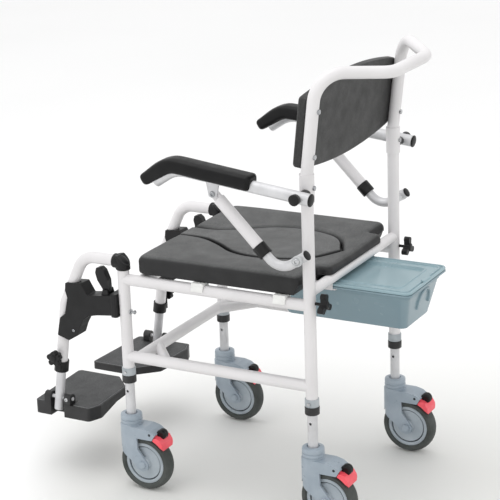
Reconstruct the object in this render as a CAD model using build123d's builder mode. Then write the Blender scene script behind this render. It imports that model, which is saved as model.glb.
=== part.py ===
"""Mobile shower commode chair: a welded tube frame on four braked casters.

Frame of the model: millimetres, +Z up, the floor at z = 0. The chair is symmetric
about the plane x = 0, +X is the sitter's left hand and the sitter faces -Y.
The origin is on the floor, under the middle of the chair's bounding box.
"""

import os
from math import atan2, cos, degrees, hypot, radians, sin, tan

from build123d import *

os.makedirs("parts", exist_ok=True)

# ---- driving dimensions ----------------------------------------------------------
post_x = 209.5            # half the spacing of the side frames, post centre to centre
rear_y = 263.763           # rear posts, measured from the middle of the bounding box
wheelbase = 443.0         # front posts to rear posts
front_y = rear_y - wheelbase

frame_tube = 25.4         # outside diameter of the frame tube
rail_tube = 25.0          # outside diameter of the rails between the posts
tube_bore = 21.4          # bore of the frame tube where nothing slides in it
inner_tube = 21.0         # outside diameter of every telescoping tube
sliding_bore = 21.2       # bore that the telescoping tubes run in
running_gap = 0.08        # radial clearance of a pin in its hole

lower_rail_z = 304.4
seat_rail_z = 479.4
post_bottom_z = 262.0
front_post_top_z = 503.4
rear_post_top_z = 745.0
cross_bar_y = front_y + 28.0
rear_rail_z = 507.5
rear_rail_tube = 22.0

wheel_radius = 62.5
tyre_width = 32.0
rim_radius = 47.0
caster_trail = 36.0
stem_z = 170.0            # lower end of the leg tubes
leg_insert = 100.0        # length of leg tube inside its post
axle_radius = 4.0

back_lean = 7.0           # degrees
back_bend_z = 752.0
handle_corner_z = 959.0
handle_rear = (86.6, 132.3, 943.7)   # half width, distance behind the posts, height
handle_bend = 58.0

arm_x = 252.0             # centre plane of the arm tubes
arm_pivot = (3.0, 718.0)              # behind the posts, height
arm_tail = (28.0, 715.2)
arm_bend = (-275.0, 749.8)
arm_nose = (-322.0, 719.7)
arm_bore = 22.0
arm_bend_radius = 70.0
pad_line = [(-98.0, 737.9), (-285.0, 760.1), (-350.0, 719.7)]
pad_section = (46.0, 32.6)            # width and depth of the arm pads
pad_bend = 55.0
strut_x = 246.0           # centre plane of the telescoping struts
strut_top = (-190.5, 705.5)
strut_foot = (0.0, 589.0)
strut_offset = 54.0       # from the foot pivot to the line of the strut
strut_outer_bore = 23.0
strut_rod_tube = 20.0

hanger_x = 210.5          # centre plane of the legrest hangers
hanger_top = (0.0, 519.0)             # behind the front posts, height
hanger_shoulder = (-99.0, 519.0)
hanger_knee = (-154.0, 405.0)
hanger_slope = 8.4        # degrees that the lower hanger leans forward
hanger_end_z = 250.0
hanger_bend = 46.0
foot_tube_end_z = 150.0
plate_pivot_z = 178.0

seat_half_width = 215.0
seat_bottom_z = 497.2
seat_top_z = 539.0
seat_front = -409.0       # behind the rear posts
seat_rear = -20.0
lid_gap = 1.5

pan_half_width = 102.0
pan_length = 330.0
pan_rear = 172.0          # rear rim of the pan, pulled out, behind the rear posts
pan_top_z = 486.5
pan_bottom_z = 399.0

sides = {"left": 1, "right": -1}
ends = {"front": front_y, "rear": rear_y}


# ---- helpers ---------------------------------------------------------------------
def tube(points, outside, bore=0.0, bend=60.0):
    """A round tube, or a rod without a bore, along straight runs and tangent bends."""
    with BuildPart() as piece:
        with BuildLine() as route:
            if len(points) > 2:
                FilletPolyline(*points, radius=bend)
            else:
                Line(*points)
        with BuildSketch(Plane(origin=route.line @ 0, z_dir=route.line % 0)):
            Circle(outside / 2)
            if bore:
                Circle(bore / 2, mode=Mode.SUBTRACT)
        sweep(path=route.line)
    return piece.part


def rod_x(x_from, x_to, y, z, radius, bore_radius=0.0):
    """A round bar along X."""
    with BuildPart() as piece:
        with BuildSketch(Plane(origin=(x_from, y, z), z_dir=(1 if x_to > x_from else -1, 0, 0))):
            Circle(radius)
            if bore_radius:
                Circle(bore_radius, mode=Mode.SUBTRACT)
        extrude(amount=abs(x_to - x_from))
    return piece.part


def rod_y(x, y_from, y_to, z, radius):
    """A round bar along Y."""
    with BuildPart() as piece:
        with BuildSketch(Plane(origin=(x, y_from, z), z_dir=(0, 1, 0))):
            Circle(radius)
        extrude(amount=y_to - y_from)
    return piece.part


def rod_z(x, y, z_from, z_to, radius, bore_radius=0.0):
    """A round bar or a ring along Z."""
    with BuildPart() as piece:
        with BuildSketch(Plane.XY.offset(z_from)):
            with Locations((x, y)):
                Circle(radius)
                if bore_radius:
                    Circle(bore_radius, mode=Mode.SUBTRACT)
        extrude(amount=z_to - z_from)
    return piece.part


def plate_yz(x_from, x_to, outline):
    """A plate across X with an outline of (y, z) points."""
    with BuildPart() as piece:
        with BuildSketch(Plane(origin=(x_from, 0, 0), x_dir=(0, 1, 0), z_dir=(1, 0, 0))):
            with BuildLine():
                Polyline(*outline, close=True)
            make_face()
        extrude(amount=x_to - x_from)
    return piece.part


def block(x_range, y_range, z_range, round_edges=0.0):
    """A block between two limits on each axis, its upright edges rounded."""
    with BuildPart() as piece:
        with BuildSketch(Plane.XY.offset(z_range[0])):
            with Locations(((x_range[0] + x_range[1]) / 2, (y_range[0] + y_range[1]) / 2)):
                size = (abs(x_range[1] - x_range[0]), abs(y_range[1] - y_range[0]))
                if round_edges:
                    RectangleRounded(*size, round_edges)
                else:
                    Rectangle(*size)
        extrude(amount=z_range[1] - z_range[0])
    return piece.part


def finish(label, solids, cuts=()):
    """Weld solids into one node, take the cuts out, and write its STEP file."""
    with BuildPart() as piece:
        for solid in solids:
            add(solid)
        for cut in cuts:
            add(cut, mode=Mode.SUBTRACT)
    piece.part.label = label
    export_step(piece.part, f"parts/{label}.step")
    return piece.part


def mirrored(x_range, side):
    """An X range on the left side of the chair, moved to the side asked for."""
    low, high = sorted((side * x_range[0], side * x_range[1]))
    return low, high


# ---- casters and telescoping legs --------------------------------------------------
fork_inner = tyre_width / 2 + 1.6
fork_outer = fork_inner + 5.4
fork_front = fork_outer + 2.5         # front of the hood, ahead of the swivel axis
fork_wall = 3.5
hub_cap_outer = 27.4
hub_cap_radius = 8.5
crown_radius = 22.0
crown_z = (142.0, 162.5)
collar_radius = 18.5
swivel_stem_radius = 5.0
tyre_clearance = 4.0      # between the tyre and the parts that reach over it
pedal_pivot = (57.0, 136.0)           # behind the swivel axis, height
pedal_pin_radius = 2.5
pedal_knob = (76.5, 133.0)            # behind the swivel axis, height
pedal_knob_radius = 11.0
pedal_knob_half_width = 7.0
rim_half_width = 13.0
leg_hole_pitch = 25.0
leg_hole_z = 225.0        # lowest of the leg's height holes
leg_hole_radius = 3.0
leg_bore_radius = 8.8
socket_depth = 30.0       # of the swivel stem in the leg


def leg_tube(name, x, y):
    """Telescoping leg with its height holes and the socket of the caster's stem."""
    top_z = post_bottom_z + leg_insert
    holes = [
        rod_x(x - inner_tube, x + inner_tube, y, leg_hole_z + step * leg_hole_pitch, leg_hole_radius)
        for step in range(5)
    ]
    bore = rod_z(x, y, stem_z + socket_depth, top_z, leg_bore_radius)
    socket = rod_z(x, y, stem_z, stem_z + socket_depth, swivel_stem_radius + running_gap)
    finish(f"leg_tube_{name}", [rod_z(x, y, stem_z, top_z, inner_tube / 2)], [bore, socket, *holes])


def over_tyre(x, hub_y, half_width):
    """Cutter that keeps a part clear of the tyre."""
    return rod_x(x - half_width, x + half_width, hub_y, wheel_radius, wheel_radius + tyre_clearance)


def round_fronted(x, y_front, half_width, z_range):
    """An upright slot or body with a round front end, long enough to pass the caster's rear."""
    with BuildPart() as piece:
        with BuildSketch(Plane.XY.offset(z_range[0])):
            with Locations((x, y_front + half_width)):
                Circle(half_width)
            with Locations((x, y_front + half_width + 60)):
                Rectangle(2 * half_width, 120)
        extrude(amount=z_range[1] - z_range[0])
    return piece.part


def caster_fork(name, x, y):
    """Hooded fork: a rounded hood over the wheel, two cheeks down to the axle, and its pins."""
    hub_y = y + caster_trail
    with BuildPart() as hood:
        add(round_fronted(x, y - fork_front, fork_outer, (40, 162)))
        add(
            plate_yz(x - 40, x + 40, [
                (y - 30, 148), (y - 30, 94), (y - 19, 88), (hub_y - 22, 64), (hub_y - 14, 51),
                (hub_y, 46.5), (hub_y + 12, 52), (hub_y + 14, 64), (y + 38, 80), (y + 25, 97),
                (y + 24, 123), (y + 62, 123), (y + 70, 136.5), (y + 59, 144), (y + 42, 148),
            ]),
            mode=Mode.INTERSECT,
        )
    cavity = round_fronted(x, y - fork_front + fork_wall, fork_inner, (30, 97))
    rear_slot = plate_yz(x - fork_inner, x + fork_inner, [
        (y + 43, 100), (y + 43, 144.5), (y + 57, 142), (y + 68, 134), (y + 80, 126), (y + 80, 100),
    ])
    crown = rod_z(x, y, *crown_z, crown_radius)
    collar = rod_z(x, y, crown_z[1], stem_z - 0.3, collar_radius)
    stem = rod_z(x, y, stem_z - 1.0, stem_z + 28.0, swivel_stem_radius)
    axle = rod_x(x - hub_cap_outer, x + hub_cap_outer, hub_y, wheel_radius, axle_radius)
    caps = [
        rod_x(x + low, x + high, hub_y, wheel_radius, hub_cap_radius)
        for low, high in ((fork_outer - 0.5, hub_cap_outer), (-hub_cap_outer, 0.5 - fork_outer))
    ]
    pedal_pin = rod_x(x - fork_outer, x + fork_outer, y + pedal_pivot[0], pedal_pivot[1], pedal_pin_radius)
    with BuildPart() as shell:
        add(hood.part)
        add(cavity, mode=Mode.SUBTRACT)
        add(over_tyre(x, hub_y, fork_inner), mode=Mode.SUBTRACT)
        add(rear_slot, mode=Mode.SUBTRACT)
    finish(f"caster_fork_{name}", [shell.part, crown, collar, stem, axle, *caps, pedal_pin])


def turned(x, y, profile):
    """A ring about the axle from a closed profile of (radius, distance across the wheel)."""
    with BuildPart() as ring:
        with BuildSketch(Plane(origin=(x, y, wheel_radius), x_dir=(0, 0, 1), z_dir=(0, 1, 0))):
            with BuildLine():
                Polyline(*profile, close=True)
            make_face()
        revolve(axis=Axis((x, y, wheel_radius), (1, 0, 0)))
    return ring.part


def caster_wheel(name, x, y):
    """Moulded wheel: hub, web and rim, turned about the axle."""
    hub_bore = axle_radius + running_gap
    hub_half = fork_inner - 0.6
    profile = [
        (hub_bore, -hub_half), (13, -hub_half), (14, -6), (38, -5), (40, -rim_half_width),
        (rim_radius, -rim_half_width), (rim_radius, rim_half_width), (40, rim_half_width), (38, 5),
        (14, 6), (13, hub_half), (hub_bore, hub_half),
    ]
    finish(f"caster_wheel_{name}", [turned(x, y + caster_trail, profile)])


def caster_tyre(name, x, y):
    """Solid tyre with rounded shoulders."""
    hub_y = y + caster_trail
    half = tyre_width / 2
    shoulder = wheel_radius - 6
    bead = rim_radius + 3
    with BuildPart() as tyre:
        with BuildSketch(Plane(origin=(x, hub_y, wheel_radius), x_dir=(0, 0, 1), z_dir=(0, 1, 0))):
            with BuildLine():
                Line((rim_radius, -rim_half_width), (rim_radius, rim_half_width))
                Line((rim_radius, rim_half_width), (bead, half))
                Line((bead, half), (shoulder, half))
                ThreePointArc((shoulder, half), (wheel_radius, 0), (shoulder, -half))
                Line((shoulder, -half), (bead, -half))
                Line((bead, -half), (rim_radius, -rim_half_width))
            make_face()
        revolve(axis=Axis((x, hub_y, wheel_radius), (1, 0, 0)))
    finish(f"caster_tyre_{name}", [tyre.part])


def brake_pedal(name, x, y):
    """Brake pedal: a tab behind the tyre, hinged inside the hood, with a round knob on top."""
    pivot_y = y + pedal_pivot[0]
    pivot_z = pedal_pivot[1]
    neck_half = fork_inner - 0.8
    tab_half = fork_outer + 0.2
    neck = plate_yz(x - neck_half, x + neck_half, [
        (pivot_y - 5, 133), (pivot_y - 5, 139), (pivot_y, 140.5), (pivot_y + 5, 137.5),
        (pivot_y + 18, 128), (pivot_y + 24, 122), (pivot_y + 20, 114), (pivot_y + 4, 129),
    ])
    shield = [
        (x - tab_half, 134), (x - tab_half, 110), (x - tab_half + 8, 96), (x - tab_half + 15, 93),
        (x + tab_half - 15, 93), (x + tab_half - 8, 96), (x + tab_half, 110), (x + tab_half, 134),
    ]
    with BuildPart() as tab:
        add(
            plate_yz(x - tab_half, x + tab_half, [
                (y + 67, 130), (y + 63, 121), (y + 71, 103), (y + 79, 94), (y + 86, 95), (y + 89.5, 104),
                (y + 88, 117), (y + 82, 127), (y + 74, 131),
            ])
        )
        with BuildSketch(Plane(origin=(0, y + 120, 0), x_dir=(1, 0, 0), z_dir=(0, -1, 0))):
            with BuildLine():
                Polyline(*shield, close=True)
            make_face()
        extrude(amount=80, mode=Mode.INTERSECT)
    knob = rod_x(
        x - pedal_knob_half_width, x + pedal_knob_half_width,
        y + pedal_knob[0], pedal_knob[1], pedal_knob_radius,
    )
    hood_room = plate_yz(x - 40, x + 40, [
        (y + 40, 122), (y + 62.8, 122), (y + 70.8, 136.2), (y + 70.8, 160), (y + 40, 160),
    ])
    with BuildPart() as outer:
        add(tab.part)
        add(knob)
        add(hood_room, mode=Mode.SUBTRACT)
    hole = rod_x(x - 20, x + 20, pivot_y, pivot_z, pedal_pin_radius + running_gap)
    finish(f"brake_pedal_{name}", [outer.part, neck], [hole, over_tyre(x, y + caster_trail, tab_half + 1)])


for end, end_y in ends.items():
    for hand, side in sides.items():
        place = f"{end}_{hand}"
        leg_tube(place, side * post_x, end_y)
        caster_fork(place, side * post_x, end_y)
        caster_wheel(place, side * post_x, end_y)
        caster_tyre(place, side * post_x, end_y)
        brake_pedal(place, side * post_x, end_y)


# ---- welded frame ------------------------------------------------------------------
vent_radius = 3.0         # drain and vent holes of the closed tubes

for hand, side in sides.items():
    x = side * post_x
    posts = [
        rod_z(x, rear_y, post_bottom_z, rear_post_top_z, frame_tube / 2),
        rod_z(x, front_y, post_bottom_z, front_post_top_z, frame_tube / 2),
    ]
    rails = [rod_y(x, front_y, rear_y, z, rail_tube / 2) for z in (lower_rail_z, seat_rail_z)]
    rail_bores = [rod_y(x, front_y + 14, rear_y - 14, z, tube_bore / 2) for z in (lower_rail_z, seat_rail_z)]
    vents = [rod_z(x, rear_y - 30, z - 14, z, vent_radius) for z in (lower_rail_z, seat_rail_z)]
    post_bores = [
        rod_z(x, rear_y, post_bottom_z - 1, rear_post_top_z + 1, sliding_bore / 2),
        rod_z(x, front_y, post_bottom_z - 1, front_post_top_z + 1, sliding_bore / 2),
    ]
    finish(f"side_frame_{hand}", [*posts, *rails], [*rail_bores, *post_bores, *vents])


def against_rails(z):
    """Cutters with the outside shape of both side rails at a height."""
    return [rod_y(side * post_x, front_y, rear_y, z, rail_tube / 2) for side in sides.values()]


def cross_bore(y, z, half_length):
    """The bore of a cross bar with its vent hole."""
    return [
        rod_x(-half_length, half_length, y, z, tube_bore / 2),
        rod_z(60.0, y, z - 14, z, vent_radius),
    ]


brace_corner_x = 128.0
brace_rail_y = rear_y - 345.0
brace_tube = 22.0
braces = [
    tube(
        [(side * brace_corner_x, cross_bar_y, lower_rail_z), (side * post_x, brace_rail_y, lower_rail_z)],
        brace_tube,
    )
    for side in sides.values()
]
lower_bar = tube([(-post_x, cross_bar_y, lower_rail_z), (post_x, cross_bar_y, lower_rail_z)], frame_tube)
finish(
    "front_cross_bar", [lower_bar, *braces],
    [*against_rails(lower_rail_z), *cross_bore(cross_bar_y, lower_rail_z, post_x - 18)],
)

seat_bar_y = front_y + 42.0
rail_web = (103.0, 105.0)
rail_ledge_x = 94.5
rail_bottom_z = 479.6
rail_ledge_z = 482.0
weld_gap = 0.05           # keeps the parts of the guide rails apart from each other and from the bars
seat_bar = tube([(-post_x, seat_bar_y, seat_rail_z), (post_x, seat_bar_y, seat_rail_z)], frame_tube)
rear_rail = tube([(-post_x, rear_y, rear_rail_z), (post_x, rear_y, rear_rail_z)], rear_rail_tube)
guide_cuts = [
    rod_x(-post_x, post_x, seat_bar_y, seat_rail_z, frame_tube / 2 + weld_gap),
    rod_x(-post_x, post_x, rear_y, rear_rail_z, rear_rail_tube / 2 + weld_gap),
]
web_top_z = rear_rail_z - rear_rail_tube / 2 + 0.4
pan_guides = []
for side in sides.values():
    for guide_x, guide_end_y, guide_top_z in (
        (rail_web, rear_y, web_top_z), ((rail_ledge_x, rail_web[0] - weld_gap), rear_y + 6, rail_ledge_z),
    ):
        with BuildPart() as guide:
            add(block(mirrored(guide_x, side), (seat_bar_y, guide_end_y), (rail_bottom_z, guide_top_z)))
            for cut in guide_cuts:
                add(cut, mode=Mode.SUBTRACT)
        pan_guides.append(guide.part)
finish(
    "seat_cross_rails", [seat_bar, rear_rail, *pan_guides],
    [
        *against_rails(seat_rail_z),
        *cross_bore(seat_bar_y, seat_rail_z, post_x - 18),
        rod_x(-post_x, post_x, rear_y, rear_rail_z, rear_rail_tube / 2 - 2.0),
        *[rod_z(side * post_x, rear_y, 400, 600, frame_tube / 2) for side in sides.values()],
    ],
)

ferrule_top_z = post_bottom_z + 17.0
ring_bottom_z = post_bottom_z - 17.0
corners = [(side * post_x, end_y) for side in sides.values() for end_y in ends.values()]
ferrule_radius = 14.9
ferrules = [
    rod_z(x, y, post_bottom_z, ferrule_top_z, ferrule_radius, frame_tube / 2) for x, y in corners
]
lock_rings = [rod_z(x, y, ring_bottom_z, post_bottom_z - 0.1, 15.5, sliding_bore / 2) for x, y in corners]
finish("leg_collars", [*ferrules, *lock_rings])

# ---- backrest frame with the push handle -----------------------------------------
lean_run = tan(radians(back_lean)) * (handle_corner_z - back_bend_z)
handle_points = []
for side in (1, -1):
    half = [
        (side * post_x, rear_y, rear_post_top_z),
        (side * post_x, rear_y, back_bend_z),
        (side * post_x, rear_y + lean_run, handle_corner_z),
        (side * handle_rear[0], rear_y + handle_rear[1], handle_rear[2]),
    ]
    handle_points += half if side == 1 else half[::-1]
sleeve_z = (698.0, 755.0)
sleeve_radius = 15.2
sleeves = [rod_z(side * post_x, rear_y, *sleeve_z, sleeve_radius) for side in sides.values()]
sleeve_bores = [
    rod_z(side * post_x, rear_y, sleeve_z[0] - 1, rear_post_top_z, frame_tube / 2) for side in sides.values()
]
back_tube = tube(handle_points, frame_tube, 0.0, handle_bend)
back_bore = tube(handle_points, tube_bore, 0.0, handle_bend)
finish("backrest_frame", [back_tube, *sleeves], [*sleeve_bores, back_bore])

pad_half_width = 213.0
pad_side_z = (764.0, 908.0)
pad_crown = 19.0
pad_thickness = 20.0
pad_mid_z = (pad_side_z[0] + pad_side_z[1]) / 2
pad_mid_y = rear_y + tan(radians(back_lean)) * (pad_mid_z - back_bend_z)
pad_back = Plane(
    origin=(0, pad_mid_y - frame_tube / 2 - 0.4, pad_mid_z),
    x_dir=(1, 0, 0),
    z_dir=(0, -cos(radians(back_lean)), sin(radians(back_lean))),
)
pad_half_height = (pad_side_z[1] - pad_side_z[0]) / 2
with BuildPart() as backrest_pad:
    with BuildSketch(pad_back):
        with BuildLine():
            ThreePointArc(
                (-pad_half_width, pad_half_height), (0, pad_half_height + pad_crown),
                (pad_half_width, pad_half_height),
            )
            Line((pad_half_width, pad_half_height), (pad_half_width, -pad_half_height))
            ThreePointArc(
                (pad_half_width, -pad_half_height), (0, -pad_half_height - pad_crown),
                (-pad_half_width, -pad_half_height),
            )
            Line((-pad_half_width, -pad_half_height), (-pad_half_width, pad_half_height))
        make_face()
        fillet(vertices(), 22)
    extrude(amount=pad_thickness)
backrest_pad.part.label = "backrest_pad"
export_step(backrest_pad.part, "parts/backrest_pad.step")

# ---- pivot bolts, screws and lock knobs on the frame -------------------------------
pivot_bolts = []
bolt_radius = 5.0
for side in sides.values():
    for behind, z, outer_x, spacer_x, clear_radius in (
        (*arm_pivot, arm_x + 21.0, arm_x - 13.2, sleeve_radius),
        (*strut_foot, strut_x + 17.8, strut_x - 10.5, frame_tube / 2),
    ):
        y = rear_y + behind
        shaft = rod_x(side * post_x, side * outer_x, y, z, bolt_radius)
        spacer = rod_x(side * post_x, side * spacer_x, y, z, 9.5)
        head = rod_x(side * (outer_x - 7.3), side * outer_x, y, z, 11.0)
        hollow = rod_z(side * post_x, rear_y, z - 20, z + 20, clear_radius)
        with BuildPart() as bolt:
            add(shaft)
            add(spacer)
            add(head)
            add(hollow, mode=Mode.SUBTRACT)
        pivot_bolts.append(bolt.part)
finish("pivot_bolts", pivot_bolts)

screws = []
for side in sides.values():
    for z in (790.0, 882.0):
        y = rear_y + tan(radians(back_lean)) * (z - back_bend_z)
        screws.append(rod_y(side * post_x, y + frame_tube / 2 - 0.3, y + frame_tube / 2 + 3.0, z, 5.0))
    screws.append(rod_y(side * post_x, rear_y + 15.0, rear_y + 18.0, 727.0, 5.0))
    for end_y in ends.values():
        screws.append(rod_x(side * (post_x + 14.8), side * (post_x + 17.5), end_y, post_bottom_z + 8.5, 3.6))
screw_seats = [rod_z(side * post_x, rear_y, *sleeve_z, sleeve_radius) for side in sides.values()]
ferrule_seats = [rod_z(x, y, post_bottom_z, ferrule_top_z, ferrule_radius) for x, y in corners]
finish("frame_screws", screws, [back_tube, *screw_seats, *ferrule_seats])

knob_z = 486.0
knob_stem = 13.5


def star_knob(name, plane, stem_length, reach, lobes=3):
    """Turning knob: a stem, a hub and rounded lobes, built along its plane's normal."""
    with BuildPart() as knob:
        with BuildSketch(plane):
            Circle(3.2)
        extrude(amount=stem_length + 2)
        with BuildSketch(plane.offset(stem_length)):
            Circle(8)
            with PolarLocations(reach - 6.5, lobes):
                Circle(6.5)
            for turn in range(lobes):
                with Locations(Rotation(0, 0, turn * 360 / lobes)):
                    with Locations((reach / 2 - 3, 0)):
                        Rectangle(reach - 6, 11)
        extrude(amount=13)
    finish(name, [knob.part])


for hand, side in sides.items():
    knob_foot = (side * post_x, rear_y + frame_tube / 2 + 0.3, knob_z)
    seat = Plane(origin=knob_foot, x_dir=(0, 0, 1), z_dir=(0, 1, 0))
    star_knob(f"rear_lock_knob_{hand}", seat, knob_stem, 23.0)


# ---- swing-up arms and their telescoping struts --------------------------------------
def at_rear(point):
    """A (behind, height) pair of the rear posts as (y, z)."""
    return rear_y + point[0], point[1]


top_y, top_z = at_rear(strut_top)
foot_y, foot_z = at_rear(strut_foot)
reach_angle = degrees(atan2(top_z - foot_z, top_y - foot_y))
reach = hypot(top_y - foot_y, top_z - foot_z)
strut_angle = radians(reach_angle) - atan2(strut_offset, (reach**2 - strut_offset**2) ** 0.5)
down = Vector(0, -cos(strut_angle), -sin(strut_angle))
foot_leg = Vector(0, cos(radians(33.5)), sin(radians(33.5)))
line_foot = Vector(0, top_y, top_z)
run = Vector(0, foot_y, foot_z) - line_foot
corner_along = (run.Y * foot_leg.Z - run.Z * foot_leg.Y) / (down.Y * foot_leg.Z - down.Z * foot_leg.Y)


def strut_point(side, along):
    """A point on the strut's centre line, so far below its upper pivot."""
    return (side * strut_x, top_y + down.Y * along, top_z + down.Z * along)


for hand, side in sides.items():
    pivot_y, pivot_z = at_rear(arm_pivot)
    path = [(side * arm_x, *at_rear(point)) for point in (arm_tail, arm_bend, arm_nose)]
    lug_x = mirrored((strut_x + 3.3, strut_x + 7.3), side)
    lug = plate_yz(*lug_x, [
        (top_y - 9, top_z - 6), (top_y, top_z - 9), (top_y + 9, top_z - 6),
        (top_y + 16, top_z + 28), (top_y - 16, top_z + 32),
    ])
    stud = rod_x(side * (strut_x + 3.3), side * (strut_x - 4), top_y, top_z, 4.0)
    stud_head = rod_x(side * (strut_x - 3.4), side * (strut_x - 6.4), top_y, top_z, 7.0)
    pivot_hole = rod_x(side * (arm_x - 20), side * (arm_x + 20), pivot_y, pivot_z, bolt_radius + running_gap)
    plug = tube([path[0], (side * arm_x, path[0][1] - 60, path[0][2] + 6.84)], 22.2)
    finish(
        f"arm_tube_{hand}",
        [tube(path, frame_tube, arm_bore, arm_bend_radius), plug, lug, stud, stud_head],
        [pivot_hole],
    )

    pad_route = [(side * arm_x, *at_rear(point)) for point in pad_line]
    with BuildPart() as arm_pad:
        with BuildLine() as route:
            FilletPolyline(*pad_route, radius=pad_bend)
        section = Plane(origin=pad_route[0], x_dir=(1, 0, 0), z_dir=route.line % 0)
        with BuildSketch(section):
            RectangleRounded(*pad_section, 10)
        sweep(path=route.line)
    lug_room = block(
        mirrored((strut_x + 3.0, strut_x + 7.6), side), (top_y - 18, top_y + 18), (top_z, top_z + 36)
    )
    finish(f"arm_pad_{hand}", [arm_pad.part], [tube(path, frame_tube, 0.0, arm_bend_radius), lug_room])

    sleeve_top, sleeve_end = 15.0, 148.0
    collar_from, collar_to = 138.0, 164.0
    tongue_plane = Plane(origin=(side * strut_x - 3, top_y, top_z), x_dir=down, z_dir=(1, 0, 0))
    with BuildPart() as tongue:
        with BuildSketch(tongue_plane):
            Circle(9.5)
            with Locations((12, 0)):
                Rectangle(24, 19)
        extrude(amount=6)
    eye = rod_x(side * strut_x - 10, side * strut_x + 10, top_y, top_z, 4.0 + running_gap)
    sleeve = tube([strut_point(side, sleeve_top), strut_point(side, sleeve_end)], frame_tube)
    sleeve_bore = tube(
        [strut_point(side, sleeve_top + 8), strut_point(side, sleeve_end + 1)], strut_outer_bore
    )
    finish(f"strut_sleeve_{hand}", [sleeve, tongue.part], [sleeve_bore, eye])
    collar = tube([strut_point(side, collar_from), strut_point(side, collar_to)], 29.6, strut_outer_bore)
    collar_seat = tube([strut_point(side, collar_from - 1), strut_point(side, sleeve_end)], frame_tube)
    finish(f"strut_collar_{hand}", [collar], [collar_seat])

    rod_path = [
        strut_point(side, 30.0), strut_point(side, corner_along),
        (side * strut_x, foot_y + foot_leg.Y * 17, foot_z + foot_leg.Z * 17),
    ]
    foot_hole = rod_x(side * strut_x - 20, side * strut_x + 20, foot_y, foot_z, bolt_radius + running_gap)
    finish(f"strut_rod_{hand}", [tube(rod_path, strut_rod_tube, 16.0, 40.0)], [foot_hole])

# ---- swing-away legrests ------------------------------------------------------------
slope = radians(hanger_slope)
saddle_y = front_y - 11.0             # end of the latch bracket, against the post
saddle_half_width = 19.0
lever_pin = (-41.5, 449.0)            # pivot of the latch lever, behind the front posts, height
lever_pin_radius = 2.5


def hanger_y(z):
    """Y of the lower hanger's centre line at a height."""
    return front_y + hanger_knee[0] - tan(slope) * (hanger_knee[1] - z)


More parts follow.
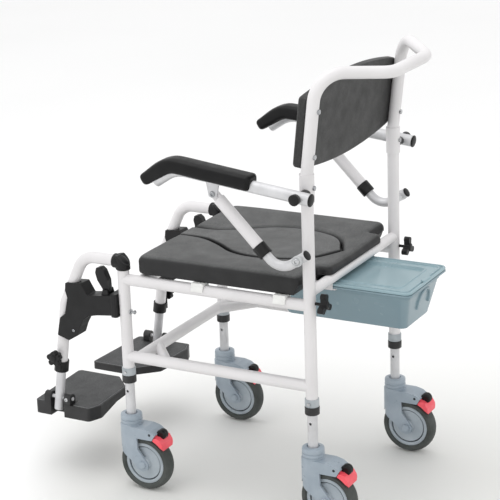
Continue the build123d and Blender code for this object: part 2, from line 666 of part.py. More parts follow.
for hand, side in sides.items():
    x = side * hanger_x
    post_line_x = side * post_x
    knee = (x, front_y + hanger_knee[0], hanger_knee[1])
    lower_end = (x, hanger_y(hanger_end_z), hanger_end_z)
    hanger_path = [
        (x, front_y + hanger_top[0] - 8, hanger_top[1]),
        (x, front_y + hanger_shoulder[0], hanger_shoulder[1]), knee, lower_end,
    ]
    finish(f"hanger_tube_{hand}", [tube(hanger_path, frame_tube, sliding_bore, hanger_bend)])

    # Moulded cap over the post, and the latch bracket that joins the hanger to the post.
    cap = rod_z(post_line_x, front_y, front_post_top_z + 0.3, hanger_top[1] + 14.5, 15.5)
    spigot_radius = sliding_bore / 2 - running_gap
    spigot = rod_z(post_line_x, front_y, front_post_top_z - 45, front_post_top_z + 1, spigot_radius)
    cap_corner = plate_yz(post_line_x - 20, post_line_x + 20, [
        (front_y - 6, 534.5), (front_y + 16.5, 511), (front_y + 20, 511), (front_y + 20, 540),
        (front_y - 6, 540),
    ])
    with BuildPart() as bracket:
        with BuildSketch(Plane(origin=(x, 0, 0), x_dir=(0, 1, 0), z_dir=(1, 0, 0))):
            with BuildLine():
                Polyline(
                    (front_y - 140, 458), (front_y - 100, 461), (front_y - 85, 436), (saddle_y, 445),
                    (saddle_y, 400), (front_y - 62, 394), (front_y - 84, 389), (front_y - 99, 378),
                    (front_y - 109, 360), (front_y - 117, 339), (front_y - 140, 325),
                    (front_y - 169, 334), (front_y - 160, 375), (front_y - 146, 386),
                    (front_y - 137, 424), (front_y - 142, 440), close=True,
                )
            make_face()
            fillet(vertices(), 2.5)
        extrude(amount=17, both=True)
    saddle = block(
        mirrored((post_x - saddle_half_width, post_x + saddle_half_width), side),
        (saddle_y - 16, saddle_y), (395, 447), 5,
    )
    clear_post = rod_z(post_line_x, front_y, 300, 502, frame_tube / 2 + 0.3)
    channel = tube(hanger_path, frame_tube, 0.0, hanger_bend)
    lever_pivot = (front_y + lever_pin[0], lever_pin[1])
    lever_ears = [
        plate_yz(x + low, x + high, [
            (lever_pivot[0] - 12, 430), (lever_pivot[0] + 12, 430), (lever_pivot[0] + 5, 453),
            (lever_pivot[0] - 5, 453),
        ])
        for low, high in ((9.4, 13.4), (-13.4, -9.4))
    ]
    hinge_rod = rod_x(x - 13.4, x + 13.4, *lever_pivot, lever_pin_radius)
    finish(
        f"hanger_bracket_{hand}",
        [bracket.part, saddle, cap, spigot, *lever_ears, hinge_rod],
        [clear_post, channel, cap_corner],
    )
    lever_plane = Plane(origin=(x, 0, 0), x_dir=(0, 1, 0), z_dir=(1, 0, 0))
    with BuildPart() as lever:
        with BuildSketch(lever_plane):
            with BuildLine():
                Polyline(
                    (lever_pivot[0] - 6, 445), (lever_pivot[0] + 6, 445), (lever_pivot[0] + 5, 473),
                    (lever_pivot[0] - 4, 495), (lever_pivot[0] - 12, 501), (lever_pivot[0] - 22, 499),
                    (lever_pivot[0] - 25, 488), (lever_pivot[0] - 21, 472), (lever_pivot[0] - 9, 454),
                    close=True,
                )
            make_face()
            fillet(vertices(), 2.5)
        extrude(amount=8, both=True)
    lever_hole = rod_x(x - 13, x + 13, *lever_pivot, lever_pin_radius + running_gap)
    finish(f"latch_lever_{hand}", [lever.part], [lever_hole])

    # Clamp that locks the foot tube, with its star knob on the outboard side.
    clamp_top = (x, hanger_y(268), 268)
    clamp_end = (x, hanger_y(244), 244)
    clamp_ring = tube([clamp_top, clamp_end], 32.0)
    clamp_lug = block(
        mirrored((hanger_x + 13.2, hanger_x + 20), side), (hanger_y(276) - 8, hanger_y(276) + 8),
        (248, 291), 3,
    )
    through = tube([(x, hanger_y(242), 242), (x, hanger_y(300), 300)], frame_tube)
    finish(f"height_clamp_{hand}", [clamp_ring, clamp_lug], [through])
    knob_plane = Plane(
        origin=(side * (hanger_x + 20.3), hanger_y(283), 283), x_dir=(0, 0, 1), z_dir=(side, 0, 0)
    )
    star_knob(f"clamp_knob_{hand}", knob_plane, 4.0, 17.0, lobes=5)

    pin_y = hanger_y(plate_pivot_z)
    foot_top = (x, hanger_y(345), 345)
    foot_end = (x, hanger_y(foot_tube_end_z), foot_tube_end_z)
    hinge_pin = rod_y(x, pin_y - 36, pin_y + 36, plate_pivot_z, 4.0)
    finish(f"foot_tube_{hand}", [tube([foot_top, foot_end], inner_tube, 17.0), hinge_pin])

    # Footplate: two ears on the hinge pin, a deep outer edge and a thin inner edge.
    slab_top = plate_pivot_z - 12.6
    inner_x, outer_x = 27.0, 222.0
    with BuildPart() as plate:
        with BuildSketch(Plane.XY.offset(slab_top - 32)):
            with BuildLine():
                Polyline(
                    (side * inner_x, rear_y - 700), (side * outer_x, rear_y - 690),
                    (side * outer_x, rear_y - 548), (side * (outer_x - 30), rear_y - 535),
                    (side * 76, rear_y - 541), (side * inner_x, rear_y - 590), close=True,
                )
            make_face()
            fillet(vertices(), 9)
        extrude(amount=32)
    with BuildPart() as underside:
        with BuildSketch(Plane.XZ.offset(-(rear_y - 500))):
            with BuildLine():
                Polyline(
                    (side * 0, slab_top - 16), (side * 120, slab_top - 18), (side * 185, slab_top - 30),
                    (side * 240, slab_top - 30), (side * 240, slab_top - 60), (side * 0, slab_top - 60),
                    close=True,
                )
            make_face()
        extrude(amount=260)
    ears = []
    for ear_y in (pin_y - 34, pin_y + 15):
        ears.append(rod_y(x, ear_y, ear_y + 19, plate_pivot_z, 11.0))
        ears.append(block(
            mirrored((hanger_x - 11, hanger_x + 11), side), (ear_y, ear_y + 19), (slab_top - 4, plate_pivot_z)
        ))
    tube_slot = block(
        mirrored((hanger_x - 13.5, hanger_x + 30), side), (pin_y - 18, pin_y + 17), (slab_top - 60, 240)
    )
    pin_hole = rod_y(x, pin_y - 60, pin_y + 60, plate_pivot_z, 4.0 + running_gap)
    finish(f"footplate_{hand}", [plate.part, *ears], [underside.part, tube_slot, pin_hole])

# ---- seat pad with its keyhole insert ------------------------------------------------
channel_half = 31.0       # half width of the channel to the front edge
tongue_half_width = 128.0
tongue_rear = 9.0
tongue_bottom_z = rear_rail_z + rear_rail_tube / 2 + 0.7


def keyhole(grow):
    """Closed plan of the opening: a channel to the front edge and a pointed oval behind it."""
    half = [
        (channel_half, seat_front), (32, -345), (58, -292), (95, -238), (108, -180), (97, -110), (66, -62),
        (0, -27),
    ]
    right = [(x + (grow if x else 0), rear_y + y + (0 if x else grow)) for x, y in half]
    left = [(-x, y) for x, y in right[-2::-1]]
    with BuildLine() as outline:
        Line(right[0], right[1])
        Spline(*right[1:], tangents=[(0.1, 1), (-1, 0.55)])
        Spline(right[-1], *left[:-1], tangents=[(-1, -0.55), (0.1, -1)])
        Line(left[-2], left[-1])
        Line(left[-1], right[0])
    return outline.line


seat_y = (rear_y + seat_front, rear_y + seat_rear)
through_seat = (seat_bottom_z - 5, seat_top_z + 5)
with BuildPart() as keyhole_cut:
    with BuildSketch(Plane.XY.offset(seat_bottom_z - 5)):
        add(keyhole(0.0))
        make_face()
    extrude(amount=60)
front_mouth = block((-channel_half, channel_half), (seat_y[0] - 5, seat_y[0] + 5), through_seat)
with BuildPart() as seat_blank:
    with BuildSketch(Plane.XY.offset(seat_bottom_z)):
        with Locations((0, (seat_y[0] + seat_y[1]) / 2)):
            RectangleRounded(2 * seat_half_width, seat_y[1] - seat_y[0], 22)
    extrude(amount=seat_top_z - seat_bottom_z)
    top_edges = seat_blank.faces().sort_by(Axis.Z)[-1].edges()
    fillet(top_edges, 9)
tongue_block = block(
    (-tongue_half_width, tongue_half_width), (rear_y + seat_rear - 40, rear_y + tongue_rear),
    (tongue_bottom_z, seat_top_z - 1.5), 12,
)
ledge_z = seat_top_z - 22.0
ledge_width = 9.0         # of the step that carries the insert
with BuildPart() as ledge_ring:
    with BuildSketch(Plane.XY.offset(seat_bottom_z)):
        add(keyhole(0.0))
        make_face()
    extrude(amount=ledge_z - seat_bottom_z)
with BuildPart() as ledge_hole:
    with BuildSketch(Plane.XY.offset(seat_bottom_z - 5)):
        add(keyhole(-ledge_width))
        make_face()
    extrude(amount=60)
ledge_mouth = block(
    (ledge_width - channel_half, channel_half - ledge_width), (seat_y[0] - 5, seat_y[0] + 20), through_seat
)
with BuildPart() as ledge:
    add(ledge_ring.part)
    add(ledge_hole.part, mode=Mode.SUBTRACT)
    add(ledge_mouth, mode=Mode.SUBTRACT)
with BuildPart() as pad_body:
    add(seat_blank.part)
    add(tongue_block)
    add(keyhole_cut.part, mode=Mode.SUBTRACT)
    add(front_mouth, mode=Mode.SUBTRACT)
finish("seat_pad", [pad_body.part, ledge.part])

with BuildPart() as seat_lid:
    with BuildSketch(Plane.XY.offset(ledge_z + 0.3)):
        add(keyhole(-lid_gap))
        make_face()
    extrude(amount=seat_top_z - 6 - ledge_z)
seat_lid.part.label = "seat_lid"
export_step(seat_lid.part, "parts/seat_lid.step")

clip_length = 28.0
clips = []
for side in sides.values():
    for behind in (-255.0, -63.0):
        with BuildPart() as clip:
            clip_start = (side * post_x, rear_y + behind - clip_length / 2, seat_rail_z)
            with BuildSketch(Plane(origin=clip_start, x_dir=(1, 0, 0), z_dir=(0, 1, 0))):
                Circle(frame_tube / 2 + 3.6)
                with Locations((0, -9)):
                    Rectangle(26, 17.6)
                Circle(frame_tube / 2 + 0.3, mode=Mode.SUBTRACT)
                with Locations((0, 30)):
                    Rectangle(60, 60, mode=Mode.SUBTRACT)
            extrude(amount=clip_length)
        clips.append(clip.part)
finish("seat_clips", clips)

# ---- commode pan on its guide rails ---------------------------------------------------
pan_wall = 2.5
pan_y = rear_y + pan_rear - pan_length / 2
rim_z = (pan_top_z - 3.8, pan_top_z)


def pan_loft(shrink, bottom_z, top_z):
    """Tapered tub between a small floor and a larger mouth."""
    with BuildPart() as tub:
        with BuildSketch(Plane.XY.offset(bottom_z)):
            with Locations((0, pan_y)):
                RectangleRounded(130 - 2 * shrink, pan_length - 52 - 2 * shrink, 16)
        with BuildSketch(Plane.XY.offset(top_z)):
            with Locations((0, pan_y)):
                RectangleRounded(186 - 2 * shrink, pan_length - 16 - 2 * shrink, 18)
        loft()
    return tub.part


rim = block((-pan_half_width, pan_half_width), (pan_y - pan_length / 2, pan_y + pan_length / 2), rim_z, 14)
finish(
    "pan_bucket",
    [pan_loft(0, pan_bottom_z, rim_z[1]), rim],
    [pan_loft(pan_wall, pan_bottom_z + pan_wall, pan_top_z + 0.5)],
)
lid_bottom_z = pan_top_z + 0.3
lid_plate = block(
    (-pan_half_width + 1, pan_half_width - 1),
    (pan_y - pan_length / 2 + 1, pan_y + pan_length / 2 - 1), (lid_bottom_z, lid_bottom_z + 6.0), 13,
)
lid_recess = block((-78, 78), (pan_y - 138, pan_y + 138), (lid_bottom_z + 2.4, lid_bottom_z + 10), 10)
latch = block(
    (-16, 16), (pan_y + pan_length / 2 - 12, pan_y + pan_length / 2 - 3),
    (lid_bottom_z + 5, lid_bottom_z + 8.5), 4,
)
finish("pan_lid", [lid_plate, latch], [lid_recess])
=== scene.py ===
"""Looks of the shower commode chair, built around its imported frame. Metres, +Z up, the sitter faces -Y."""
import math

import bmesh
import bpy
import numpy as np
from mathutils import Matrix, Vector


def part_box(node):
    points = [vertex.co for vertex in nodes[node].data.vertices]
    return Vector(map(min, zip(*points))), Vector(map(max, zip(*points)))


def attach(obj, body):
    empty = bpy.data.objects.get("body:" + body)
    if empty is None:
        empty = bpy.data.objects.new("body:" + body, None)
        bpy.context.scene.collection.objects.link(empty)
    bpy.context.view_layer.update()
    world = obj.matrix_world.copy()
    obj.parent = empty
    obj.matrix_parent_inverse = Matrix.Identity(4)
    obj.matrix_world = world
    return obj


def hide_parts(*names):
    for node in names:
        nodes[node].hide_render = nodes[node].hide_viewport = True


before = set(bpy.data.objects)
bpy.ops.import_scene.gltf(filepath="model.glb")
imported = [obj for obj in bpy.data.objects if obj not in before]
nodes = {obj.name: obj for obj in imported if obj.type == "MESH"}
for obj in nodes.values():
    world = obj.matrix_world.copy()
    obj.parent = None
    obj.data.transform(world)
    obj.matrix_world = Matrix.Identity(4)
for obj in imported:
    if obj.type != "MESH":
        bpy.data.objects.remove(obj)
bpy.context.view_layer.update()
mm = 0.001
SIDES = {"left": 1, "right": -1}
ENDS = ("front", "rear")


def centre(node):
    """Middle of a CAD node's box."""
    low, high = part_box(node)
    return (Vector(low) + Vector(high)) / 2


POST_X = centre("side_frame_left").x
REAR_Y = centre("leg_tube_rear_left").y
FRONT_Y = centre("leg_tube_front_left").y


# ---- materials -----------------------------------------------------------------------
def rgb(red, green, blue):
    """Linear colour from the 0-255 values of a colour picker."""
    def linear(value):
        value /= 255
        return value / 12.92 if value <= 0.04045 else ((value + 0.055) / 1.055) ** 2.4
    return linear(red), linear(green), linear(blue), 1.0


class Finish:
    """A node material: mottled colour, uneven gloss and up to two scales of relief."""

    def __init__(self, name, **sockets):
        self.material = bpy.data.materials.new(name)
        self.material.use_nodes = True
        self.tree = self.material.node_tree
        self.shader = self.tree.nodes["Principled BSDF"]
        for socket, value in sockets.items():
            self.shader.inputs[socket.replace("_", " ")].default_value = value
        self.where = self.node("ShaderNodeTexCoord").outputs["Object"]

    def node(self, kind, **settings):
        new = self.tree.nodes.new(kind)
        for key, value in settings.items():
            setattr(new, key, value)
        return new

    def link(self, source, target):
        self.tree.links.new(source, target)

    def stretched(self, scale):
        mapping = self.node("ShaderNodeMapping")
        mapping.inputs["Scale"].default_value = scale
        self.link(self.where, mapping.inputs["Vector"])
        return mapping.outputs["Vector"]

    def noise(self, scale, detail=3.0, stretch=None):
        new = self.node("ShaderNodeTexNoise")
        new.inputs["Scale"].default_value = scale
        new.inputs["Detail"].default_value = detail
        self.link(self.stretched(stretch) if stretch else self.where, new.inputs["Vector"])
        return new.outputs["Fac"]

    def cells(self, scale, feature="F1"):
        new = self.node("ShaderNodeTexVoronoi", feature=feature)
        new.inputs["Scale"].default_value = scale
        self.link(self.where, new.inputs["Vector"])
        return new.outputs["Distance"]

    def ramp(self, factor, low, high, first, second):
        new = self.node("ShaderNodeValToRGB")
        new.color_ramp.elements[0].position = low
        new.color_ramp.elements[1].position = high
        new.color_ramp.elements[0].color = first
        new.color_ramp.elements[1].color = second
        self.link(factor, new.inputs["Fac"])
        return new.outputs["Color"]

    def mixed(self, factor, first, second, blend="MIX"):
        new = self.node("ShaderNodeMix", data_type="RGBA", blend_type=blend)
        if isinstance(factor, float):
            new.inputs["Factor"].default_value = factor
        else:
            self.link(factor, new.inputs["Factor"])
        self.link(first, new.inputs[6])
        self.link(second, new.inputs[7])
        return new.outputs[2]

    def ranged(self, value, low, high):
        new = self.node("ShaderNodeMapRange", interpolation_type="SMOOTHSTEP")
        new.inputs["From Min"].default_value = low
        new.inputs["From Max"].default_value = high
        self.link(value, new.inputs["Value"])
        return new.outputs["Result"]

    def colour(self, factor, first, second, low=0.35, high=0.65):
        self.link(self.ramp(factor, low, high, first, second), self.shader.inputs["Base Color"])
        return self

    def gloss(self, factor, smooth, rough, low=0.3, high=0.7):
        new = self.node("ShaderNodeMapRange")
        for socket, value in (("From Min", low), ("From Max", high), ("To Min", smooth), ("To Max", rough)):
            new.inputs[socket].default_value = value
        self.link(factor, new.inputs["Value"])
        self.link(new.outputs["Result"], self.shader.inputs["Roughness"])
        return self

    def relief(self, *layers):
        """Bump layers of (height, strength, depth in metres), coarse to fine."""
        normal = None
        for height, strength, depth in layers:
            new = self.node("ShaderNodeBump")
            new.inputs["Strength"].default_value = strength
            new.inputs["Distance"].default_value = depth
            self.link(height, new.inputs["Height"])
            if normal:
                self.link(normal, new.inputs["Normal"])
            normal = new.outputs["Normal"]
        self.link(normal, self.shader.inputs["Normal"])
        return self

    def split(self, height, lower, upper):
        """One colour below a height in metres and another above it."""
        parts = self.node("ShaderNodeSeparateXYZ")
        self.link(self.where, parts.inputs["Vector"])
        above = self.node("ShaderNodeMath", operation="GREATER_THAN")
        above.inputs[1].default_value = height
        self.link(parts.outputs["Z"], above.inputs[0])
        self.link(self.mixed(above.outputs[0], lower, upper), self.shader.inputs["Base Color"])
        return self


def moulded(name, dark, light, smooth=0.34, rough=0.5, grain=1500.0, depth=0.00006, **sockets):
    """Moulded plastic with a fine spark-eroded grain."""
    look = Finish(name, **sockets)
    look.colour(look.noise(26.0), dark, light)
    look.gloss(look.noise(60.0), smooth, rough)
    look.relief((look.noise(grain, 2.0), 0.35, depth))
    return look.material


def skin(name, dark, light, rough=0.62, side=None):
    """Moulded polyurethane skin: leathery pebbles with fine pores; given a side colour, faces turned away
    from straight up take it in place of the face colour, painted light and shade set by the normal.
    """
    look = Finish(name, Specular_IOR_Level=0.42)
    face = look.ramp(look.noise(9.0, 5.0), 0.3, 0.7, dark, light)
    pores = look.ramp(look.noise(520.0, 2.0), 0.42, 0.6, (0.62, 0.62, 0.62, 1.0), (1.22, 1.22, 1.22, 1.0))
    face = look.mixed(1.0, face, pores, "MULTIPLY")
    if side:
        # Painted light and shade: a side colour chosen by the normal, darker on the seat's walls as painted
        # shade and lighter on the footplate's rolled edges as a painted highlight.
        painted_light_normal = look.node("ShaderNodeSeparateXYZ")
        look.link(look.node("ShaderNodeNewGeometry").outputs["True Normal"], painted_light_normal.inputs["Vector"])
        wall = look.ramp(look.noise(24.0), 0.35, 0.65, side, tuple(c * 1.3 for c in side[:3]) + (1.0,))
        face = look.mixed(look.ranged(painted_light_normal.outputs["Z"], 0.62, 0.97), wall, face)
    look.link(face, look.shader.inputs["Base Color"])
    look.gloss(look.noise(34.0), rough - 0.14, rough)
    look.relief(
        (look.noise(70.0, 4.0), 0.16, 0.0008),
        (look.cells(420.0), 0.45, 0.0005),
        (look.noise(2400.0, 2.0), 0.25, 0.0001),
    )
    return look.material


def enamel():
    """Glossy white powder coat with a slight orange peel."""
    look = Finish("white_enamel", Coat_Weight=0.2, Coat_Roughness=0.2, Specular_IOR_Level=0.45)
    look.colour(look.noise(7.0), rgb(219, 217, 218), rgb(227, 225, 226))
    look.gloss(look.noise(40.0), 0.32, 0.46)
    look.relief((look.noise(230.0, 2.0), 0.12, 0.00015), (look.noise(1900.0, 1.0), 0.1, 0.00004))
    return look.material


def metal(name, dark, light, smooth, rough, stretch, metallic=1.0):
    """Drawn or turned metal, its fine lines along one direction."""
    look = Finish(name, Metallic=metallic)
    look.colour(look.noise(30.0), dark, light)
    look.gloss(look.noise(160.0, 4.0, stretch), smooth, rough)
    look.relief((look.noise(700.0, 4.0, stretch), 0.12, 0.00006))
    return look.material


def milky(name, deep, pale):
    """Smooth blue-grey pan plastic under a thin gloss."""
    look = Finish(name, IOR=1.4, Coat_Weight=0.1, Coat_Roughness=0.2)
    look.colour(look.noise(9.0, 1.5), deep, pale, 0.25, 0.75)
    look.gloss(look.noise(20.0, 1.0), 0.18, 0.28)
    look.relief((look.noise(1400.0), 0.08, 0.00003))
    return look.material


def collars():
    """Satin grey ferrules above black lock rings."""
    look = Finish("leg_collars")
    grey = look.ramp(look.noise(40.0), 0.35, 0.65, rgb(158, 165, 170), rgb(176, 182, 186))
    black = look.ramp(look.noise(40.0), 0.35, 0.65, rgb(28, 28, 29), rgb(42, 42, 43))
    joint_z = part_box("side_frame_left")[0][2]
    look.split(joint_z - 0.0001, black, grey)
    look.gloss(look.noise(70.0), 0.3, 0.48)
    look.relief((look.noise(1300.0), 0.25, 0.00005))
    return look.material


def bolts():
    """Black moulded arm pivots above bare steel strut bolts."""
    strut_bolts_end = 0.65
    look = Finish("pivot_bolts")
    steel = look.ramp(look.noise(40.0), 0.35, 0.65, rgb(168, 170, 172), rgb(205, 207, 208))
    black = look.ramp(look.noise(40.0), 0.35, 0.65, rgb(20, 20, 21), rgb(36, 36, 37))
    look.split(strut_bolts_end, steel, black)
    look.gloss(look.noise(90.0), 0.24, 0.42)
    look.relief((look.noise(1500.0), 0.2, 0.00005))
    return look.material


LINES_UP, LINES_BACK = (1.0, 1.0, 0.05), (1.0, 0.08, 1.0)      # directions of a metal's fine lines
WHITE = enamel()
ALUMINIUM = metal("satin_aluminium", rgb(200, 200, 202), rgb(214, 214, 216), 0.38, 0.54, LINES_UP, 0.35)
STEEL = metal("bright_steel", rgb(158, 160, 163), rgb(205, 206, 207), 0.16, 0.34, LINES_BACK)
# Seat skins: grey upward faces and near-black side walls, painted light on the top and painted shade on the
# sides.
SEAT = skin("seat_skin", rgb(76, 77, 77), rgb(88, 89, 89), 0.62, rgb(24, 24, 25))
INSERT = skin("seat_insert_skin", rgb(79, 80, 80), rgb(92, 93, 93), 0.58, rgb(24, 24, 25))
BACK = skin("back_skin", rgb(44, 44, 44), rgb(56, 56, 56), 0.6)
ARM_PAD = moulded(
    "arm_pad_skin", rgb(10, 10, 11), rgb(17, 17, 18), 0.36, 0.5, 900.0, 0.00012, Specular_IOR_Level=0.22)
BLACK = moulded("black_plastic", rgb(15, 15, 16), rgb(24, 24, 25), Specular_IOR_Level=0.3)
# Footplate tread: its rolled edges take a lighter grey than its face, a painted highlight along the edge.
PLATE = skin("footplate_plastic", rgb(56, 57, 58), rgb(68, 69, 70), 0.6, rgb(118, 119, 120))
PLATE_EDGE = moulded("footplate_edge", rgb(24, 24, 25), rgb(36, 36, 37), 0.4, 0.55)
CLIP = moulded("white_clip", rgb(228, 228, 226), rgb(240, 240, 238), 0.3, 0.45)
HOUSING = moulded("caster_housing", rgb(148, 160, 171), rgb(160, 171, 181), 0.26, 0.42, 900.0, 0.00005)
WHEEL = moulded("wheel_centre", rgb(158, 168, 176), rgb(174, 183, 190), 0.28, 0.42, 900.0, 0.00005)
RED = moulded("brake_red", rgb(238, 78, 92), rgb(248, 96, 108), 0.3, 0.45, 900.0, 0.00005)
TYRE = moulded("tyre", rgb(58, 62, 60), rgb(74, 78, 76), 0.55, 0.8, 600.0, 0.0002)
# This dark paints shade into the wheels' channels and also colours the pedal pin heads.
GROOVE = moulded("dark_groove", rgb(22, 26, 32), rgb(34, 38, 44), 0.5, 0.7)
PAN = milky("pan_plastic", rgb(122, 144, 154), rgb(130, 152, 161))
PAN_LID = milky("pan_lid_plastic", rgb(140, 166, 174), rgb(150, 176, 184))
COLLARS = collars()
BOLTS = bolts()

NODE_FINISH = {
    "side_frame": WHITE, "front_cross_bar": WHITE, "seat_cross_rails": WHITE, "backrest_frame": WHITE,
    "hanger_tube": WHITE, "strut_sleeve": WHITE, "seat_clips": CLIP, "leg_tube": ALUMINIUM,
    "foot_tube": ALUMINIUM, "strut_rod": ALUMINIUM, "arm_tube": ALUMINIUM, "frame_screws": STEEL,
    "strut_collar": BLACK, "hanger_bracket": BLACK, "latch_lever": BLACK, "height_clamp": BLACK,
    "clamp_knob": BLACK, "rear_lock_knob": BLACK, "leg_collars": COLLARS, "pivot_bolts": BOLTS,
    "caster_fork": HOUSING, "caster_wheel": WHEEL, "caster_tyre": TYRE, "brake_pedal": RED,
    "footplate": PLATE_EDGE, "backrest_pad": BACK, "seat_pad": SEAT, "seat_lid": INSERT,
    "arm_pad": ARM_PAD, "pan_bucket": PAN, "pan_lid": PAN_LID,
}
EDGE_ROUND = {      # radius in millimetres of the moulded or broken edges of the CAD nodes that stay
    "caster_fork": 2.2, "hanger_bracket": 2.2, "latch_lever": 3.0, "height_clamp": 1.2, "clamp_knob": 1.8,
    "rear_lock_knob": 2.2, "seat_clips": 0.9, "strut_collar": 1.2, "leg_collars": 1.0, "frame_screws": 0.8,
    "pivot_bolts": 1.6, "arm_tube": 0.5, "brake_pedal": 4.5, "footplate": 2.4,
}


def soften(obj, radius, angle=32.0):
    """Welds an imported mesh's split corners and rounds its sharp edges, as modifiers."""
    weld = obj.modifiers.new("weld", "WELD")
    weld.merge_threshold = 0.00002
    bevel = obj.modifiers.new("bevel", "BEVEL")
    bevel.width = radius * mm
    bevel.segments = 3
    bevel.limit_method = "ANGLE"
    bevel.angle_limit = math.radians(angle)
    bevel.harden_normals = True


for name, obj in nodes.items():
    kind = next(key for key in NODE_FINISH if name.startswith(key))
    for material_slot in obj.material_slots:
        material_slot.material = NODE_FINISH[kind]
    if kind in EDGE_ROUND:
        soften(obj, EDGE_ROUND[kind])


# ---- mesh makers -----------------------------------------------------------------------
def made(name, mesh_data, material, body, replaces=(), smooth_angle=40.0):
    """Puts a finished mesh in the scene and ties it to its body."""
    obj = bpy.data.objects.new(name, mesh_data)
    bpy.context.scene.collection.objects.link(obj)
    obj.data.materials.append(material)
    for polygon in obj.data.polygons:
        polygon.use_smooth = True
    if smooth_angle:
        obj.data.set_sharp_from_angle(angle=math.radians(smooth_angle))
    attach(obj, body)
    if replaces:
        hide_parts(*replaces)
    return obj


def from_rings(name, rings, closed_ends=True, loop=False):
    """Skins a list of equal rings of points. With loop, the last ring joins the first."""
    bm = bmesh.new()
    layers = [[bm.verts.new(point) for point in ring] for ring in rings]
    count = len(layers[0])
    pairs = list(zip(layers, layers[1:])) + ([(layers[-1], layers[0])] if loop else [])
    for lower, upper in pairs:
        for i in range(count):
            j = (i + 1) % count
            bm.faces.new((lower[i], lower[j], upper[j], upper[i]))
    if closed_ends and not loop:
        bm.faces.new(reversed(layers[0]))
        bm.faces.new(layers[-1])
    bmesh.ops.recalc_face_normals(bm, faces=bm.faces)
    mesh_data = bpy.data.meshes.new(name)
    bm.to_mesh(mesh_data)
    bm.free()
    return mesh_data


def lathe(name, profile, origin, axis, segments=64, loop=True):
    """Turns a profile of (radius, distance along the axis) in millimetres about an axis."""
    turn = Vector((0, 0, 1)).rotation_difference(Vector(axis)).to_matrix()
    rings = []
    for step in range(segments):
        angle = 2 * math.pi * step / segments
        rings.append([
            Vector(origin) + turn @ Vector((r * math.cos(angle), r * math.sin(angle), along)) * mm
            for r, along in profile
        ])
    if loop:
        return from_rings(name, rings, closed_ends=False, loop=True)
    bm = bmesh.new()
    layers = [[bm.verts.new(point) for point in ring] for ring in rings]
    for i, layer in enumerate(layers):
        following = layers[(i + 1) % segments]
        for j in range(len(profile) - 1):
            bm.faces.new((layer[j], layer[j + 1], following[j + 1], following[j]))
    bmesh.ops.remove_doubles(bm, verts=bm.verts, dist=1e-7)
    bmesh.ops.recalc_face_normals(bm, faces=bm.faces)
    mesh_data = bpy.data.meshes.new(name)
    bm.to_mesh(mesh_data)
    bm.free()
    return mesh_data


def dome(name, origin, axis, radius, height, rim=1.2):
    """A pressed or moulded cap with a flat back, a short rim and a domed top."""
    profile = [(0.0, 0.0), (radius * 0.94, 0.0), (radius, rim * 0.4), (radius, rim)]
    steps = 8
    for step in range(1, steps + 1):
        angle = math.pi / 2 * step / steps
        profile.append((radius * math.cos(angle), rim + (height - rim) * math.sin(angle)))
    profile[-1] = (0.0, height)
    return lathe(name, profile, origin, axis, 48, loop=False)


def pan_head(name, origin, axis, radius, height):
    """A screw head with a crowned top and a hexagon socket."""
    socket = radius * 0.48
    profile = [
        (0.0, 0.0), (radius, 0.0), (radius, height * 0.45), (radius * 0.9, height * 0.8),
        (radius * 0.68, height), (socket * 1.08, height), (socket, height * 0.93),
        (socket, height * 0.35), (0.0, height * 0.3),
    ]
    return lathe(name, profile, origin, axis, 36, loop=False)


def rounded_rectangle(half_x, half_y, radius, z, middle=(0.0, 0.0), steps=8):
    """A ring of points, counted so that rings of the same steps skin together."""
    points = []
    for corner, (sign_x, sign_y) in enumerate(((1, 1), (-1, 1), (-1, -1), (1, -1))):
        for step in range(steps + 1):
            angle = math.pi / 2 * (corner + step / steps)
            points.append(Vector((
                middle[0] + sign_x * (half_x - radius) + radius * math.cos(angle),
                middle[1] + sign_y * (half_y - radius) + radius * math.sin(angle), z,
            )) * mm)
    return points


def rounded_polygon(corners, radii, steps=7):
    """An outline with an arc at each corner, in millimetres."""
    points = []
    count = len(corners)
    for i, corner in enumerate(corners):
        here = Vector(corner)
        before = (Vector(corners[i - 1]) - here)
        after = (Vector(corners[(i + 1) % count]) - here)
        half = before.angle(after) / 2
        reach = min(radii[i] / math.tan(half), 0.48 * min(before.length, after.length))
        start, end = here + before.normalized() * reach, here + after.normalized() * reach
        for step in range(steps + 1):
            t = step / steps
            point = start.lerp(here, t).lerp(here.lerp(end, t), t)
            if not points or (point - points[-1]).length > 0.01:
                points.append(point)
    return points


def slab(name, outline, thickness, top_round, bottom_round, voxel=2.6, smoothing=3):
    """A dense moulded slab lying in XY about z = 0, its top and bottom edges rounded."""
    bm = bmesh.new()
    upper = [bm.verts.new((x * mm, y * mm, thickness / 2 * mm)) for x, y in outline]
    lower = [bm.verts.new((x * mm, y * mm, -thickness / 2 * mm)) for x, y in outline]
    bm.faces.new(upper)
    bm.faces.new(reversed(lower))
    for i in range(len(outline)):
        j = (i + 1) % len(outline)
        bm.faces.new((lower[i], lower[j], upper[j], upper[i]))
    bmesh.ops.triangulate(bm, faces=bm.faces)
    blank = bpy.data.meshes.new(name)
    bm.to_mesh(blank)
    bm.free()
    solid = bpy.data.objects.new(name + "_blank", blank)
    bpy.context.scene.collection.objects.link(solid)
    remesh = solid.modifiers.new("remesh", "REMESH")
    remesh.mode = "VOXEL"
    remesh.voxel_size = voxel * mm
    smooth = solid.modifiers.new("smooth", "SMOOTH")
    smooth.factor = 0.5
    smooth.iterations = smoothing
    bpy.context.view_layer.update()
    graph = bpy.context.evaluated_depsgraph_get()
    dense = bpy.data.meshes.new_from_object(solid.evaluated_get(graph))
    dense.name = name
    bpy.data.objects.remove(solid)
    round_edges(dense, outline, thickness / 2, top_round, bottom_round)
    return dense


def points_of(mesh_data):
    """Vertices of a mesh in millimetres, as an array."""
    flat = np.empty(len(mesh_data.vertices) * 3)
    mesh_data.vertices.foreach_get("co", flat)
    return flat.reshape(-1, 3) / mm


def set_points(mesh_data, points):
    mesh_data.vertices.foreach_set("co", (points * mm).ravel())
    mesh_data.update()


